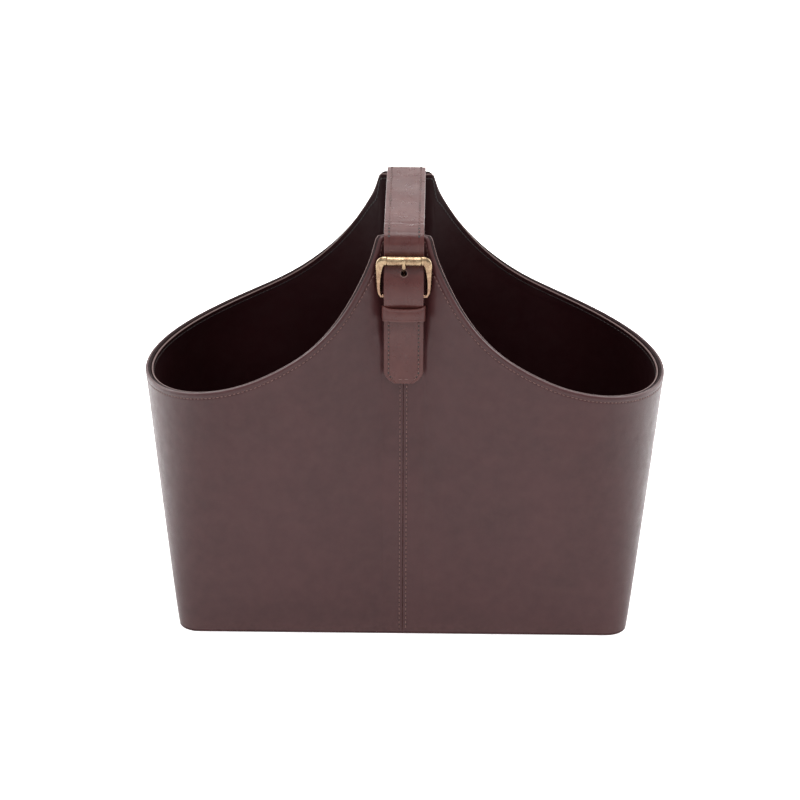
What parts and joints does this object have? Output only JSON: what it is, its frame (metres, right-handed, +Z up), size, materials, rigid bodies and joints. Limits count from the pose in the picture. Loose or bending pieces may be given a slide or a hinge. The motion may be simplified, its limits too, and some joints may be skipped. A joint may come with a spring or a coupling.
{
  "type": "magazine rack",
  "caption": "Leather-covered magazine basket with round ends, walls swept up to narrow peaks and a strap handle held by a roller buckle.",
  "frame": {"origin": "middle of the base, on the surface that the rack stands on", "axes": "+X to the basket's right along its length, -Y towards the front where the buckle is, +Z up"},
  "size_m": [0.4566, 0.2164, 0.3774],
  "materials": {
    "cover_leather": "smooth, slightly glossy dark brown leather with a fine grain",
    "strap_leather": "smooth dark brown strap leather, a little warmer and glossier than the walls",
    "lining_leather": "very dark brown lining leather, semi-matt",
    "fibre_board": "plain pressed board, hidden",
    "webbing": "plain woven tape, hidden",
    "aged_brass": "antique brass, brushed by wear on the edges and dark in the hollows"
  },
  "bodies": {
    "rack": {"outer_cover_left": "cover_leather", "outer_cover_right": "cover_leather", "wall_board_left": "fibre_board", "wall_board_right": "fibre_board", "lining_left": "lining_leather", "lining_right": "lining_leather", "front_seam_strip": "webbing", "back_seam_strip": "webbing", "base_cover": "cover_leather", "base_board": "fibre_board", "base_lining": "lining_leather", "handle_strap": "strap_leather", "handle_lining": "strap_leather", "handle_tape": "webbing", "strap_billet": "strap_leather", "buckle_chape": "strap_leather", "strap_keeper": "strap_leather"},
    "buckle": {"buckle_frame": "aged_brass"},
    "roller": {"buckle_roller": "aged_brass"},
    "prong": {"buckle_prong": "aged_brass"}
  },
  "joints": [
    {"name": "buckle_tilt", "type": "hinge", "parent": "rack", "child": "buckle", "pos_m": [0, -0.0842, 0.31977], "axis": [1, 0, 0], "range_deg": [0, 15], "deforming": ["strap_billet"]},
    {"name": "roller_spin", "type": "hinge", "parent": "buckle", "child": "roller", "pos_m": [0, -0.08621, 0.35292], "axis": [1, 0, 0], "continuous": true},
    {"name": "prong_lift", "type": "hinge", "parent": "buckle", "child": "prong", "pos_m": [0, -0.0842, 0.31977], "axis": [1, 0, 0], "range_deg": [0, 3], "deforming": ["strap_billet"]}
  ]
}
